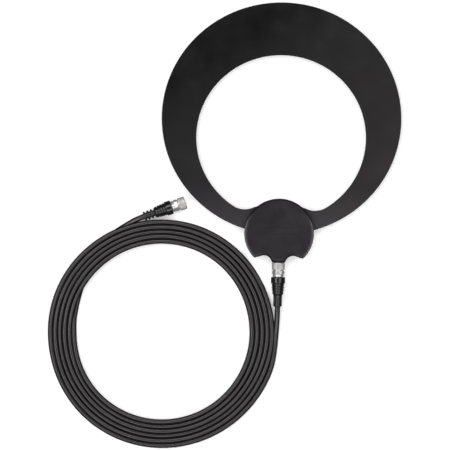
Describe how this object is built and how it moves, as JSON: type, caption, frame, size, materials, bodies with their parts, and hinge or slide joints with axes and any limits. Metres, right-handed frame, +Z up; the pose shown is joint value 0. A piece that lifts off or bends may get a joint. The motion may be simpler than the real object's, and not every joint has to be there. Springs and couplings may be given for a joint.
{
  "type": "indoor loop television antenna",
  "caption": "Flat oval loop television antenna with a round hub and a coiled coaxial lead that screws on with F plugs.",
  "frame": {"origin": "under the middle of the antenna head (loop, hub and jack, without the lead), on the surface that it lies on", "axes": "+Y from the jack across the hub to the far side of the loop, +Z up out of the front face, +X to the right of someone looking down with the jack nearest"},
  "size_m": [0.3488, 0.4475, 0.0141],
  "materials": {
    "housing": "moulded ABS, fine satin texture, black",
    "loop_plastic": "black laminate skin, satin",
    "foil": "bare foil",
    "grip_rubber": "matte non-slip pad",
    "screw_steel": "zinc-plated steel",
    "circuit_board": "glass-fibre board with green lacquer",
    "ferrite": "sintered ferrite",
    "copper_wire": "enamelled copper",
    "chip_ceramic": "ceramic chip parts",
    "rivet_brass": "bare brass",
    "nickel": "nickel-plated brass, satin to bright",
    "contact_gold": "gold-flashed phosphor bronze",
    "white_insulator": "polyethylene",
    "copper_core": "solid copper centre conductor",
    "boot_rubber": "moulded soft PVC, satin black",
    "cable_jacket": "extruded PVC jacket, satin black"
  },
  "bodies": {
    "antenna_head": {"front_cover": "housing", "rear_cover": "housing", "rear_grip_pad": "grip_rubber", "cover_screws": "screw_steel", "loop_front_skin": "loop_plastic", "loop_foil": "foil", "loop_back_skin": "loop_plastic", "feed_rivets": "rivet_brass", "balun_board": "circuit_board", "balun_core": "ferrite", "balun_windings": "copper_wire", "chip_components": "chip_ceramic", "jack_body": "nickel", "jack_insulator": "white_insulator", "jack_contact": "contact_gold"},
    "lead": {"cable_lead_a": "cable_jacket", "cable_coil": "cable_jacket", "cable_lead_b": "cable_jacket", "plug_a_post": "nickel", "plug_a_ferrule": "nickel", "plug_a_dielectric": "white_insulator", "plug_a_pin": "copper_core", "plug_a_boot": "boot_rubber", "plug_b_post": "nickel", "plug_b_ferrule": "nickel", "plug_b_dielectric": "white_insulator", "plug_b_pin": "copper_core", "plug_b_boot": "boot_rubber"},
    "coupling_nut_a": {"plug_a_nut": "nickel"},
    "coupling_nut_b": {"plug_b_nut": "nickel"}
  },
  "joints": [
    {"name": "plug_a_pull", "type": "slide", "parent": "antenna_head", "child": "lead", "axis": [0, -1, 0], "range_m": [0, 0.00754]},
    {"name": "nut_a_spin", "type": "hinge", "parent": "lead", "child": "coupling_nut_a", "pos_m": [0, -0.1334, 0.0072], "axis": [0, -1, 0], "range_deg": [0, 3420]},
    {"name": "nut_b_spin", "type": "hinge", "parent": "lead", "child": "coupling_nut_b", "pos_m": [-0.1008, -0.07042, 0.00695], "axis": [0.9403, 0.3404, 0], "continuous": true}
  ],
  "couplings": [
    {"joint": "nut_a_spin", "follows": "plug_a_pull", "rad_per_m": 7915.8}
  ]
}
